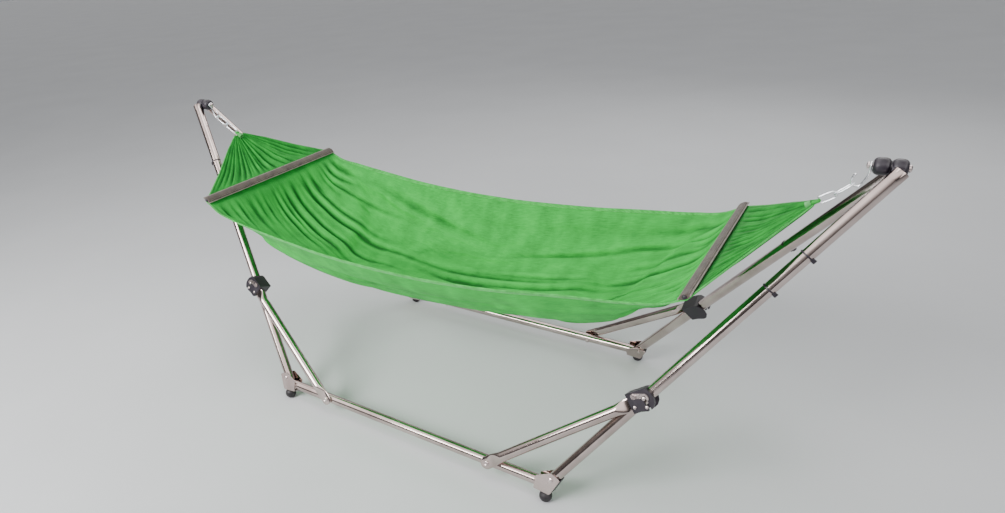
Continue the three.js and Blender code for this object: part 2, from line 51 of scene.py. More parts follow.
# ---- camera -------------------------------------------------------------------------------
AZIMUTH, ELEVATION, ROLL = 0.6081, 0.4586, -0.0805
LENS, SHIFT_X, SHIFT_Y = 23.265, 0.0449, 0.0098
EYE = Vector((1.1365, -1.6327, 1.4470))
back = Vector((
    math.sin(AZIMUTH) * math.cos(ELEVATION),
    -math.cos(AZIMUTH) * math.cos(ELEVATION),
    math.sin(ELEVATION),
))
level = Vector((math.cos(AZIMUTH), math.sin(AZIMUTH), 0))
above = back.cross(level)
right = level * math.cos(ROLL) + above * math.sin(ROLL)
upward = above * math.cos(ROLL) - level * math.sin(ROLL)
camera = bpy.data.objects.new("camera", bpy.data.cameras.new("camera"))
camera.data.lens = LENS
camera.data.shift_x, camera.data.shift_y = SHIFT_X, SHIFT_Y
camera.matrix_world = Matrix.Translation(EYE) @ Matrix((right, upward, back)).transposed().to_4x4()
bpy.context.scene.collection.objects.link(camera)
bpy.context.scene.camera = camera


# ---- materials ----------------------------------------------------------------------------
# Noise scales are per metre, pitches and bump distances in metres.
CLOUD_SCALE = {"metal": 9, "plastic": 30, "tape": 45, "knit": 14}
STREAK_SCALE, STREAK_STRETCH = 60, (6, 0.5, 1)
TAPE_ROUGHNESS_SCALE = 120
COLUMN_PITCH, COURSE_PITCH, STITCH_LEAN = 0.0032, 0.0036, 1.6
METAL_BUMP, KNIT_BUMP, YARN_BUMP = 0.0004, 0.0007, 0.0006
# How strongly the painted crease and fan shade darkens, and the painted ridge light lightens, the knit.
CREASE_SHADE = 0.9


class Paint:
    """A node material in the making; .shader is its Principled shader."""

    def __init__(self, name, **values):
        self.material = bpy.data.materials.new(name)
        self.material.use_nodes = True
        self.tree = self.material.node_tree
        self.shader = self.tree.nodes["Principled BSDF"]
        for socket, value in values.items():
            self.shader.inputs[socket.replace("_", " ")].default_value = value

    def add(self, kind, **values):
        node = self.tree.nodes.new("ShaderNode" + kind)
        for name, value in values.items():
            if hasattr(node, name) and name not in node.inputs:
                setattr(node, name, value)
            else:
                self.put(node.inputs[name.replace("_", " ")], value)
        return node

    def put(self, socket, value):
        if hasattr(value, "is_output"):
            self.tree.links.new(value, socket)
        else:
            socket.default_value = value

    def coords(self, stretch=(1, 1, 1), uv=False):
        """Object coordinates, or the cloth's flat ones, scaled by stretch."""
        if uv:
            source = self.add("UVMap", uv_map="weave").outputs[0]
        else:
            source = self.add("TexCoord").outputs["Object"]
        mapping = self.add("Mapping")
        mapping.inputs["Scale"].default_value = stretch
        self.put(mapping.inputs["Vector"], source)
        return mapping.outputs[0]

    def noise(self, scale, detail=3.0, **kw):
        node = self.add("TexNoise", Scale=scale, Detail=detail)
        self.put(node.inputs["Vector"], self.coords(**kw))
        return node.outputs["Fac"]

    def math(self, operation, a, b=0.0):
        node = self.add("Math", operation=operation)
        self.put(node.inputs[0], a)
        self.put(node.inputs[1], b)
        return node.outputs[0]

    def range(self, value, low, high, start=0.3, end=0.7):
        """Maps start..end of the value to low..high."""
        node = self.add("MapRange")
        self.put(node.inputs["Value"], value)
        limits = {"From Min": start, "From Max": end, "To Min": low, "To Max": high}
        for name, number in limits.items():
            node.inputs[name].default_value = number
        return node.outputs[0]

    def ramp(self, value, dark, light, start=0.3, end=0.7):
        node = self.add("ValToRGB")
        self.put(node.inputs["Fac"], value)
        elements = node.color_ramp.elements
        elements[0].position, elements[1].position = start, end
        elements[0].color, elements[1].color = (*dark, 1), (*light, 1)
        return node.outputs["Color"]

    def colour(self, value):
        self.put(self.shader.inputs["Base Color"], value)

    def rough(self, value):
        self.put(self.shader.inputs["Roughness"], value)

    def bump(self, height, strength, distance):
        node = self.add("Bump")
        node.inputs["Strength"].default_value = strength
        node.inputs["Distance"].default_value = distance
        self.put(node.inputs["Height"], height)
        self.put(self.shader.inputs["Normal"], node.outputs["Normal"])


def metal(name, dark, light, rough, grain):
    """Handled metal: cloudy in colour, with a fine grain in its gloss and surface."""
    paint = Paint(name, Metallic=1.0)
    cloudy = paint.noise(CLOUD_SCALE["metal"], 4)
    fine = paint.noise(grain, 2)
    paint.colour(paint.ramp(cloudy, dark, light))
    paint.rough(paint.range(paint.math("MULTIPLY", cloudy, fine), *rough, start=0.12, end=0.4))
    paint.bump(fine, 0.05, METAL_BUMP)
    return paint.material


def moulded(name, dark, light, rough, grain, depth):
    """Moulded plastic or rubber with a fine pebbled texture of that depth."""
    paint = Paint(name, Metallic=0.0)
    paint.shader.inputs["Specular IOR Level"].default_value = 0.5
    speckle = paint.noise(grain, 2)
    cloudy = paint.noise(CLOUD_SCALE["plastic"], 4)
    paint.colour(paint.ramp(cloudy, dark, light))
    paint.rough(paint.range(cloudy, *rough))
    paint.bump(speckle, 0.35, depth)
    return paint.material


def knitted(name, dark, light):
    """Columns of small V stitches, in the cloth's own flat coordinates, with painted shade down in the
    creases and in the fans and painted light on the crease ridges.
    """
    paint = Paint(name, Metallic=0.0)
    paint.shader.inputs["Sheen Weight"].default_value = 0.05
    paint.shader.inputs["Specular IOR Level"].default_value = 0.25
    paint.shader.inputs["Sheen Roughness"].default_value = 0.45
    paint.shader.inputs["Sheen Tint"].default_value = (0.75, 1.0, 0.75, 1)
    split = paint.add("SeparateXYZ")
    paint.put(split.inputs[0], paint.coords(uv=True))
    column = paint.math("MULTIPLY", split.outputs[0], 2 * math.pi / COLUMN_PITCH)
    course = paint.math("MULTIPLY", split.outputs[1], 2 * math.pi / COURSE_PITCH)
    lean = paint.math("MULTIPLY", paint.math("ABSOLUTE", paint.math("SINE", column)), STITCH_LEAN)
    loops = paint.math("SINE", paint.math("ADD", course, lean))
    ribs = paint.math("ABSOLUTE", paint.math("SINE", paint.math("MULTIPLY", column, 0.5)))
    knit = paint.math("ADD", paint.math("MULTIPLY", loops, 0.25), paint.math("MULTIPLY", ribs, 0.5))
    mottle = paint.noise(CLOUD_SCALE["knit"], 5, uv=True)
    streak = paint.noise(STREAK_SCALE, 3, uv=True, stretch=STREAK_STRETCH)
    tone = paint.math("ADD", paint.math("MULTIPLY", mottle, 0.55), paint.math("MULTIPLY", streak, 0.3))
    tone = paint.math("ADD", tone, paint.math("MULTIPLY", knit, 0.3))
    # Painted shade and painted light: the cloth's colour attribute darkens the knit in crease valleys
    # and in the fans, and lightens it on crease ridges.
    painted_light_and_shade = paint.add("VertexColor", layer_name="painted_light_and_shade").outputs["Color"]
    shade = paint.math("MULTIPLY", paint.math("SUBTRACT", painted_light_and_shade, 0.5), CREASE_SHADE)
    tone = paint.math("ADD", tone, shade)
    paint.colour(paint.ramp(tone, dark, light, 0.2, 0.72))
    paint.rough(paint.range(mottle, 0.7, 0.88))
    paint.bump(paint.math("ADD", knit, paint.math("MULTIPLY", streak, 0.6)), 0.45, KNIT_BUMP)
    return paint.material


def woven(name, dark, light, pitch, slant=1.0):
    """Crossed yarns of that pitch, for tapes, piping and thread."""
    paint = Paint(name, Metallic=0.0)
    paint.shader.inputs["Sheen Weight"].default_value = 0.2
    split = paint.add("SeparateXYZ")
    paint.put(split.inputs[0], paint.coords())
    turns = 2 * math.pi / pitch
    down = paint.math("ADD", split.outputs[0], split.outputs[2])
    warp = paint.math("SINE", paint.math("MULTIPLY", down, turns))
    across = paint.math("ADD", split.outputs[1], paint.math("MULTIPLY", split.outputs[0], slant))
    weft = paint.math("SINE", paint.math("MULTIPLY", across, turns))
    yarn = paint.math("MULTIPLY", warp, weft)
    tone = paint.math("ADD", paint.math("MULTIPLY", yarn, 0.2), paint.noise(CLOUD_SCALE["tape"], 4))
    paint.colour(paint.ramp(tone, dark, light, 0.25, 0.75))
    paint.rough(paint.range(paint.noise(TAPE_ROUGHNESS_SCALE), 0.7, 0.9))
    paint.bump(yarn, 0.5, YARN_BUMP)
    return paint.material


STEEL = metal("polished_steel", (0.38, 0.305, 0.285), (0.62, 0.525, 0.495), (0.08, 0.18), 400)
FITTING = metal("plain_steel", (0.56, 0.47, 0.46), (0.78, 0.69, 0.67), (0.24, 0.38), 300)
ZINC = metal("zinc_wire", (0.74, 0.78, 0.82), (0.93, 0.95, 0.97), (0.12, 0.25), 900)
BLACK = moulded(
    "black_plastic", (0.012, 0.009, 0.015), (0.028, 0.021, 0.032), (0.32, 0.5), 1400, 0.0002)
RUBBER = moulded(
    "foot_rubber", (0.010, 0.008, 0.010), (0.024, 0.019, 0.022), (0.4, 0.65), 900, 0.0003)
GREEN = knitted("green_knit", (0.005, 0.12, 0.010), (0.050, 0.66, 0.088))
HEM = woven("green_hem", (0.022, 0.36, 0.035), (0.065, 0.68, 0.10), 0.0028)
THREAD = woven("green_thread", (0.10, 0.50, 0.12), (0.20, 0.68, 0.22), 0.0012)
TAPE = woven("brown_tape", (0.055, 0.042, 0.034), (0.14, 0.108, 0.088), 0.0026)
PIPING = woven("pale_piping", (0.26, 0.215, 0.185), (0.50, 0.43, 0.38), 0.002, 3.0)
SLOT_LOOK = {
    "polished_steel": STEEL, "steel_fittings": FITTING, "zinc_wire": ZINC, "bar_steel": FITTING,
    "black_plastic": BLACK, "foot_rubber": RUBBER, "green_fabric": GREEN, "brown_tape": TAPE,
}


# ---- mesh building ------------------------------------------------------------------------
class Shape:
    """Vertices and faces, gathered in millimetres from lofts, tubes and turned profiles."""

    def __init__(self):
        self.points, self.faces = [], []

    def loft(self, rings, closed=False):
        """Joins rings of points in order, with a cap at each end unless the row is closed."""
        base, count = len(self.points), len(rings[0])
        for ring in rings:
            self.points.extend(Vector(p) for p in ring)
        spans = len(rings) if closed else len(rings) - 1
        for i in range(spans):
            here, there = base + i * count, base + (i + 1) % len(rings) * count
            for j in range(count):
                k = (j + 1) % count
                self.faces.append((here + j, here + k, there + k, there + j))
        if not closed:
            self.faces.append(tuple(base + j for j in reversed(range(count))))
            last = base + (len(rings) - 1) * count
            self.faces.append(tuple(last + j for j in range(count)))
        return self

    def turned(self, profile, start, axis, sides=28):
        """Revolves (radius, distance) pairs about the line through start along axis."""
        axis = Vector(axis).normalized()
        side = axis.orthogonal().normalized()
        other = axis.cross(side)
        rings = []
        for radius, distance in profile:
            centre = Vector(start) + axis * distance
            rings.append([
                centre + (side * math.cos(a) + other * math.sin(a)) * max(radius, 0.02)
                for a in (2 * math.pi * j / sides for j in range(sides))
            ])
        return self.loft(rings)

    def tube(self, path, radius, sides=10, closed=False, flat=1.0, up=(0, 0, 1)):
        """Sweeps a round or flattened section; flat scales it along up."""
        rings = []
        for i, p in enumerate(path):
            before = path[i - 1] if closed or i else path[0]
            after = path[(i + 1) % len(path)] if closed or i < len(path) - 1 else path[-1]
            along = (Vector(after) - Vector(before)).normalized()
            across = along.cross(Vector(up)).normalized()
            rise = across.cross(along)
            rings.append([
                Vector(p) + across * radius * math.cos(a) + rise * radius * flat * math.sin(a)
                for a in (2 * math.pi * j / sides for j in range(sides))
            ])
        return self.loft(rings, closed)

    def dash(self, start, end, radius, sides=6):
        """One stitch: a short thread that dips at both ends."""
        start, end = Vector(start), Vector(end)
        axis, length = (end - start), (end - start).length
        profile = [(0, 0), (radius * 0.7, length * 0.06), (radius, length * 0.3),
                   (radius, length * 0.7), (radius * 0.7, length * 0.94), (0, length)]
        return self.turned(profile, start, axis, sides)


def piece(name, shape, look, body, slot=None, sx=1, sy=1, bevel=0.0, smooth=40):
    """Makes a shape a piece that rides on a body. Its normals are made to face out."""
    build = bmesh.new()
    verts = [build.verts.new((p.x * sx * MM, p.y * sy * MM, p.z * MM)) for p in shape.points]
    for face in shape.faces:
        build.faces.new([verts[i] for i in face])
    bmesh.ops.remove_doubles(build, verts=build.verts, dist=1e-6)
    bmesh.ops.recalc_face_normals(build, faces=build.faces)
    return finished(name, build, look, body, bevel, smooth)


def finished(name, build, look, body, bevel, smooth):
    """Turns a bmesh into the object: bevel in millimetres, edges sharp beyond smooth degrees."""
    mesh = bpy.data.meshes.new(name)
    build.to_mesh(mesh)
    build.free()
    for polygon in mesh.polygons:
        polygon.use_smooth = True
    mesh.set_sharp_from_angle(angle=math.radians(smooth))
    made = bpy.data.objects.new(name, mesh)
    bpy.context.scene.collection.objects.link(made)
    mesh.materials.append(look)
    if bevel:
        rounding = made.modifiers.new("rounding", "BEVEL")
        rounding.width, rounding.segments = bevel * MM, 3
        rounding.limit_method, rounding.angle_limit = "ANGLE", math.radians(35)
        rounding.harden_normals = True
    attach(made, body)
    return made


RECORD = frame["record"]
SLOT_OF = {row["node"]: row["material_slot"] for row in RECORD["subparts"]}
BODY_OF = {node: body for body, nodes in RECORD["behaviour"]["bodies"].items() for node in nodes}
WELD, FLAT_ANGLE = 2e-6, 0.01


def welded_copy(node):
    build = bmesh.new()
    build.from_mesh(NODES[node].data)
    bmesh.ops.remove_doubles(build, verts=build.verts, dist=WELD)
    return build


def refined(node, bevel=0.0, smooth=40, divide=0):
    """A welded copy of a CAD node with rounded edges, which stands for it."""
    build = welded_copy(node)
    bmesh.ops.dissolve_limit(build, angle_limit=FLAT_ANGLE, verts=build.verts, edges=build.edges)
    slot = SLOT_OF[node]
    made = finished(node + "_look", build, SLOT_LOOK[slot], BODY_OF[node], bevel, smooth)
    if divide:
        rounder = made.modifiers.new("round_wire", "SUBSURF")
        rounder.levels = rounder.render_levels = divide
    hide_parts(node)


# ---- the stand ----------------------------------------------------------------------------
# A bevel and a smoothing angle for each kind of node that keeps its CAD shape. The struts, clips,
# knuckles, sleeves and cloth are drawn anew below.
REFINE = {
    "clamp_block": (1.8, 40), "gusset": (0.5, 40), "latch": (0.4, 40),
    "upright": (0.0, 40), "base_tube": (0.0, 40), "corner_rivet": (0.0, 50),
    "strut_rivet": (0.0, 50), "catch_stud": (0.0, 50), "foot": (0.0, 40), "hinge_bolt": (0.0, 50),
    "spreader_bar": (0.3, 40),
}
for node in sorted(NODES):
    kind = next((kind for kind in REFINE if node.endswith(kind)), None)
    if kind:
        refined(node, *REFINE[kind])
    elif node.endswith(("_hook", "_link")):
        refined(node, divide=2, smooth=180)

# The side frame's own plan, in millimetres: the front right corner, hanging plumb from the hinge.
# BASE_HEIGHT and BASE_OUT place the base tube's middle line, and PLANE is how far the frame lies
# outside the hinge line.
HINGE, BASE_HEIGHT, BASE_OUT, PLANE = 948.0, 51.0, 379.0, 17.0
STRUT_OFFSET = 20
TUBE_RADIUS, FLAT_WIDE, FLAT_THICK = 16.0, 19.5, 3.0
MEETING_SHARE = 0.3426
CLIP_SHARE, UPPER_CLIP_SHARE = 0.703, 0.80
REACH = math.hypot(BASE_OUT, HINGE - BASE_HEIGHT)
TILT = math.atan2(BASE_OUT, HINGE - BASE_HEIGHT) - math.asin(PLANE / REACH)
BASE_Z = -math.sqrt(REACH**2 - PLANE**2)
CORNER, TOP = Vector((516.6, -PLANE, BASE_Z)), Vector((1173.3, -PLANE, -27.0))
RISE = (TOP - CORNER).normalized()
ACROSS = Vector((-RISE.z, 0, RISE.x))
MEETING = CORNER + (TOP - CORNER) * MEETING_SHARE
STRUT_FOOT = Vector((325.9, -PLANE - STRUT_OFFSET, BASE_Z))
STRUT_HEAD = Vector((MEETING.x, -PLANE - STRUT_OFFSET, MEETING.z))
TO_WORLD = Matrix.Translation((0, 0, HINGE)) @ Matrix.Rotation(-TILT, 4, "X")
OUTWARD = Vector((0, -1, 0))


def tilted(shape):
    """Moves a shape from the side frame's own plan to its place in the leaning frame."""
    shape.points = [TO_WORLD @ p for p in shape.points]
    return shape


def blend_at(x, start, end):
    """0 before start, 1 after end, and smooth between."""
    t = min(max((x - start) / (end - start), 0), 1)
    return t * t * (3 - 2 * t)


def strut_shape():
    """A round tube pressed flat at both ends: a round eye below, a tongue in the block above."""
    along = (STRUT_HEAD - STRUT_FOOT).normalized()
    across = Vector((-along.z, 0, along.x))
    length = (STRUT_HEAD - STRUT_FOOT).length
    stops = [-19.4, -19.2, -18.4, -17, -14.5, -11, -6, 0, 8, 16, 22]
    stops += [22 + 3.2 * i for i in range(1, 13)] + [90, 150, 220, 300, 360, length - 102]
    stops += [length - 98 + 4 * i for i in range(15)] + [length - 30, length - 6, length + 2]
    rings = []
    for at in stops:
        opened = blend_at(at, 16, 60)
        roundness = opened * (1 - blend_at(at, length - 78, length - 44))
        wide = FLAT_WIDE - (FLAT_WIDE - TUBE_RADIUS) * roundness
        if at < 0:
            wide *= math.sqrt(max(0.02, 1 - (at / 19.6) ** 2))
        outwards = FLAT_THICK + (TUBE_RADIUS - FLAT_THICK) * roundness
        pressed_in = blend_at(at, length - 100, length - 66)
        inwards = FLAT_THICK + (TUBE_RADIUS - FLAT_THICK) * opened * (1 - pressed_in)
        power = 2 / (3.4 - 1.4 * roundness)
        ring = []
        for j in range(40):
            a = 2 * math.pi * j / 40
            c, s = math.cos(a), math.sin(a)
            ring.append(
                STRUT_FOOT + along * at
                + across * wide * math.copysign(abs(c) ** power, c)
                + OUTWARD * (outwards if s > 0 else inwards) * math.copysign(abs(s) ** power, s)
            )
        rings.append(ring)
    return Shape().loft(rings)


def eyelet():
    """The hollow rivet's rolled rim, and a dark disc in its hole as painted shadow of the bore, on the
    strut's lower eye.
    """
    rim = [(3.2, 0.2), (3.6, 1.3), (5.2, 2.0), (6.8, 1.5),
           (7.6, 0.3), (7.6, -0.6), (3.2, -0.6), (3.2, 0.2)]
    painted_bore_shadow = [(0, -0.5), (3.3, -0.5), (3.3, 0.5), (0, 0.5)]
    at = STRUT_FOOT + OUTWARD * 5.6
    return Shape().turned(rim, at, OUTWARD), Shape().turned(painted_bore_shadow, at, OUTWARD)


def block_details():
    """Two rivet heads on the clamp block's outer face, each in a raised pad."""
    steel, pads = Shape(), Shape()
    face = -PLANE - 30
    dome = [(0.1, -0.2), (4.6, -0.2), (4.6, 0.5), (4.0, 1.3), (2.4, 2.0), (0.1, 2.2)]
    collar = [(4.9, -0.3), (6.8, -0.3), (6.8, 0.5), (6.3, 0.9), (5.4, 0.9), (4.9, 0.5), (4.9, -0.3)]
    for x, z in ((-14, -24), (16, -14)):
        at = Vector((MEETING.x + x, face, MEETING.z + z))
        steel.turned(dome, at, OUTWARD)
        pads.turned(collar, at, OUTWARD)
    return steel, pads


def edge_strip():
    """The black plug that closes the gusset's outer edge between its cheeks."""
    a, b = Vector((19.2, 0, -17.0)), Vector((39.2, 0, 25.2))
    normal = (b - a).cross(Vector((0, 1, 0))).normalized()
    rings = []
    for t in (0, 0.04, 0.25, 0.5, 0.75, 0.96, 1):
        half = 15.6 * (0.93 if t in (0, 1) else 1)
        centre = CORNER + a.lerp(b, t)
        rings.append([
            centre + Vector((0, half * cy, 0)) + normal * cn
            for cy, cn in ((-1, -1.0), (-1, 0.6), (-0.9, 1.1), (0.9, 1.1), (1, 0.6), (1, -1.0))
        ])
    return Shape().loft(rings)


def weld_bead():
    """A rippled bead where the base tube meets each cheek of the gusset."""
    bead = Shape()
    for side in (-1, 1):
        path = []
        for i in range(25):
            z = -12 + 24 * i / 24
            y = side * math.sqrt(16.2**2 - z * z)
            swell = 0.35 * math.sin(i * 1.9)
            path.append(CORNER + Vector((-34.9 - swell, y, z)))
        bead.tube(path, 1.5, 8, up=(1, 0, 0))
    return bead


# The knuckles' eyes: their radius, how far in their sharp rims are drawn, and each one's ends along X.
EYE_RADIUS, DRAWN_IN, RIM_FROM = 20.0, 13.5, 15
EYES = {"rear": (1130.0, 1163.4), "front": (1164.0, 1196.0)}


def knuckle_lobe(side):
    """The knuckle's rounded eye on the hinge line, drawn in world place and not in the frame's plan."""
    start, end = EYES[side]
    long = end - start
    half = [(0, 0), (6, 0), (11, 0.3), (15, 1.7), (17.9, 4.6), (19.5, 8.6), (EYE_RADIUS, 13)]
    profile = half + [(r, long - x) for r, x in reversed(half)]
    return Shape().turned(profile, (start, 0, HINGE), (1, 0, 0), 48)


def knuckle_neck(side, end):
    """The knuckle's neck and plug from the CAD node, its eye's sharp rims drawn in under the lobe."""
    node = f"{side}_{end}_hinge_knuckle"
    build = welded_copy(node)
    for vert in build.verts:
        x = abs(vert.co.x) / MM
        arm = Vector((0, vert.co.y, vert.co.z - HINGE * MM))
        if any(abs(x - rim) < 0.6 for rim in EYES[side]) and arm.length > RIM_FROM * MM:
            vert.co -= arm * (1 - DRAWN_IN * MM / arm.length)
    bmesh.ops.dissolve_limit(build, angle_limit=FLAT_ANGLE, verts=build.verts, edges=build.edges)
    made = finished(node + "_neck", build, BLACK, f"{side}_frame", 0.0, 40)
    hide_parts(node)


def spring_clip(share):
    """A clip that share of the way up the upright, open on its inner side, with a lug below."""
    at = CORNER + (TOP - CORNER) * share
    rings = []
    for i in range(33):
        turn = 62 + 236 * i / 32
        a = math.radians(turn)
        radial = ACROSS * math.sin(a) - OUTWARD * math.cos(a)
        lug = 6.5 * math.exp(-(((turn - 258) / 15) ** 4))
        rings.append([
            at + radial * r + RISE * along * (0.42 + min(lug, 4) * 0.16)
            for r, along in ((16.15, -4.6), (16.15, 4.6), (17.0 + lug, 5), (17.7 + lug, 3.6),
                             (17.7 + lug, -3.6), (17.0 + lug, -5))
        ])
    return Shape().loft(rings)


def tube_cap():
    """The front upright's own end, standing up beside the eye with a pressed steel cap."""
    wall = [(15.4, 0), (16.3, 0), (16.3, 22.2), (15.8, 23.4), (14.5, 24.0), (9, 24.3), (0, 24.4)]
    return Shape().turned(wall, TOP - RISE * 1.5, RISE, 40)


for side, sign_y in SIDES.items():
    for end, sign_x in ENDS.items():
        where = dict(sx=sign_x, sy=sign_y)
        frame_body, arm = f"{side}_frame", f"{side}_{end}_strut_arm"
        name = f"{side}_{end}_"
        strut = piece(
            name + "strut_tube", tilted(strut_shape()), STEEL, arm, "polished_steel", **where)
        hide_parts(name + "strut")
        heads, pads = block_details()
        piece(name + "block_rivets", tilted(heads), FITTING, arm, "steel_fittings", **where)
        piece(name + "block_pads", tilted(pads), BLACK, arm, "black_plastic", **where)
        rim, painted_bore_shadow = eyelet()
        piece(name + "eyelet", tilted(rim), FITTING, arm, "steel_fittings", **where)
        # A dark disc in the strut's eye: painted shadow of the bore.
        piece(name + "eyelet_painted_bore_shadow", tilted(painted_bore_shadow), RUBBER, arm, "steel_fittings", **where)
        on_frame = dict(body=frame_body, slot="black_plastic", **where)
        piece(name + "edge_strip", tilted(edge_strip()), BLACK, **on_frame)
        piece(name + "weld_bead", tilted(weld_bead()), STEEL, frame_body, "polished_steel", **where)
        piece(name + "knuckle_lobe", knuckle_lobe(side), BLACK, frame_body, "black_plastic", sx=sign_x)
        knuckle_neck(side, end)
        clip = piece(name + "clip", tilted(spring_clip(CLIP_SHARE)), BLACK, **on_frame)
        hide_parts(name + "tube_clip")
        if side == "front":
            piece(name + "upper_clip", tilted(spring_clip(UPPER_CLIP_SHARE)), BLACK, **on_frame)
            piece(name + "tube_cap", tilted(tube_cap()), STEEL, frame_body, "polished_steel", **where)


# ---- the cloth ----------------------------------------------------------------------------
# The middle, radius and half wire of the hook's lower bend, and each chain of two links: the angles
# it hangs at, the links' inner lengths and half their wire. All as in the CAD model.
HOOK_X, HOOK_Z, HOOK_R, HOOK_WIRE = 1106.0, HINGE - 41, 10.5, 2.75
TOUCH = 0.4
CHAINS = {
    "right": dict(first=42, second=34, first_long=46, second_long=42, wire=2.0),
    "left": dict(first=30.5, second=30.5, first_long=58, second_long=62, wire=3.0),
}


def downward(angle):
    """The direction inwards and down at that angle below level, at the right end."""
    return Vector((-math.cos(math.radians(angle)), 0, -math.sin(math.radians(angle))))


def chain_end(spec):
    """The middle of the last link's end wire, and the direction the chain pulls, at the right end."""
    pull, last = downward(spec["first"]), downward(spec["second"])
    on_hook = Vector((HOOK_X, 0, HOOK_Z)) + pull * (HOOK_R - HOOK_WIRE - spec["wire"] - TOUCH)
    start = on_hook + pull * spec["first_long"] - last * (2 * spec["wire"] + TOUCH)
    return start + last * spec["second_long"], last


LINK_END = {end: chain_end(spec) for end, spec in CHAINS.items()}
START = {
    end: LINK_END[end][0] + LINK_END[end][1] * (CHAINS[end]["wire"] + 5) for end in ENDS
}
BAND_X = {"left": -838.0, "right": 835.0}
# Place along X, half width, height of the edges, how far the middle hangs, and width when flat.
SECTIONS = [
    (-START["left"].x, 21, START["left"].z - 4, 3, 170),
    (-960, 92, 808, 13, 400),
    (-900, 200, 752, 22, 660),
    (-838, 322, 696, 2, 880),
    (-790, 328, 668, 75, 900),
    (-700, 336, 650, 150, 900),
    (-550, 338, 630, 205, 900),
    (-300, 337, 606, 238, 900),
    (0, 335, 597, 242, 900),
    (300, 326, 612, 232, 890),
    (550, 312, 640, 185, 870),
    (700, 308, 656, 132, 860),
    (790, 307, 671, 70, 860),
    (835, 309, 696, 2, 850),
    (910, 191, 753, 19, 640),
    (985, 82, 811, 11, 380),
    (START["right"].x, 16, START["right"].z - 2, 2, 160),
]
ROWS, COLUMNS, FAN_ROWS = 170, 172, 20
PER_ROW = COLUMNS + 1
# The hanging curve is 1 - |v| ** HANG, for v from -1 at the front hem to 1 at the rear one.
HANG = 2.4
CROWDING = 0.055
PLEATS, PLEAT_HEIGHT = 11, 2.2
SEED = 3.7


def place_of(x):
    """The place among the sections, as a whole number and a share, of a point along X."""
    for i in range(len(SECTIONS) - 1):
        if x <= SECTIONS[i + 1][0] or i == len(SECTIONS) - 2:
            return i + (x - SECTIONS[i][0]) / (SECTIONS[i + 1][0] - SECTIONS[i][0])


def slope_at(k, column):
    """How steeply a column of SECTIONS changes along X at row k. The cloth may bend at the bars."""
    before, here, after = SECTIONS[k - 1], SECTIONS[k], SECTIONS[k + 1]
    back, ahead = here[0] - before[0], after[0] - here[0]
    slope_back = (here[column] - before[column]) / back
    slope_ahead = (after[column] - here[column]) / ahead
    if here[0] == BAND_X["left"]:
        return slope_ahead
    if here[0] == BAND_X["right"]:
        return slope_back
    return (slope_back * ahead + slope_ahead * back) / (back + ahead)


def section_at(x):
    """The row of SECTIONS at x: straight in the gathered ends, smooth between the bars."""
    place = place_of(x)
    i = int(min(place, len(SECTIONS) - 2))
    t = place - i
    first, second = SECTIONS[i], SECTIONS[i + 1]
    if not (BAND_X["left"] <= first[0] and second[0] <= BAND_X["right"]):
        return [a + (b - a) * t for a, b in zip(first, second)]
    long = second[0] - first[0]
    row = [x]
    for k in range(1, len(first)):
        m1, m2 = slope_at(i, k) * long, slope_at(i + 1, k) * long
        row.append((2 * t**3 - 3 * t**2 + 1) * first[k] + (t**3 - 2 * t**2 + t) * m1
                   + (3 * t**2 - 2 * t**3) * second[k] + (t**3 - t**2) * m2)
    return row


def cloth_rows():
    """Places along X: even in the gathered ends, and between the bars closer together by each bar."""
    first, last = SECTIONS[0][0], SECTIONS[-1][0]
    marks = [first, BAND_X["left"], BAND_X["right"], last]
    counts = [FAN_ROWS, ROWS - 2 * FAN_ROWS, FAN_ROWS]
    out = []
    for a, b, n in zip(marks, marks[1:], counts):
        for i in range(n):
            t = i / n
            if n > FAN_ROWS:
                t = t - CROWDING * math.sin(2 * math.pi * t)
            out.append(a + (b - a) * t)
    return out + [last]


def sharp_fold(distance, wide):
    """A narrow valley with a soft ridge on either side, -1 at its deepest."""
    if abs(distance) > 4.5 * wide:
        return 0.0
    t = abs(distance) / wide
    return -math.exp(-(t ** 1.6)) + 0.5 * math.exp(-((t - 1.9) ** 2))


# Creases that run out from the bars, and creases that lie along the middle. v is the place across
# the cloth and drift how far it wanders; long, deep and wide are in millimetres.
luck = random.Random(23)
BAND_CREASES = []
for end, count in (("left", 22), ("right", 19)):
    for k in range(count):
        v = 0.97 * (2 * (k + 0.5 + luck.uniform(-0.6, 0.6)) / count - 1)
        share = luck.random() ** 1.6
        BAND_CREASES.append(dict(
            end=end, v=v, long=110 + 620 * share, deep=luck.uniform(4, 10) + 5 * share,
            wide=luck.uniform(5.5, 10), drift=luck.uniform(-0.07, 0.07),
        ))
LONG_CREASES = [
    dict(v=luck.uniform(-0.85, 0.85), x=luck.uniform(-450, 450), long=luck.uniform(260, 520),
         deep=luck.uniform(7, 12), wide=luck.uniform(8, 14), drift=luck.uniform(-0.12, 0.12))
    for _ in range(15)
]


def crease_height(x, v, reach):
    """How far the creases lift or drop the cloth at v, where v = 1 is reach millimetres away."""
    height = 0.0
    inside = BAND_X["left"] < x < BAND_X["right"]
    for c in BAND_CREASES:
        away = abs(x - BAND_X[c["end"]])
        if inside and away > c["long"]:
            continue
        if not inside and (x > 0) != (c["end"] == "right"):
            continue
        fade = blend_at(away, 9, 55)
        shift = 0.0
        if inside:
            fade *= 1 - blend_at(away, c["long"] * 0.35, c["long"])
            shift = c["drift"] * away / c["long"]
        narrow = 1 if inside else max(reach / 330, 0.12)
        fold = sharp_fold((v - c["v"] - shift) * reach, c["wide"] * narrow)
        height += c["deep"] * fade * (0.35 + 0.65 * narrow) * fold
    if inside:
        for c in LONG_CREASES:
            t = (x - c["x"]) / c["long"]
            if abs(t) < 1:
                fold = sharp_fold((v - c["v"] - c["drift"] * t) * reach, c["wide"])
                height += c["deep"] * (1 - t * t) ** 2 * fold
    return height


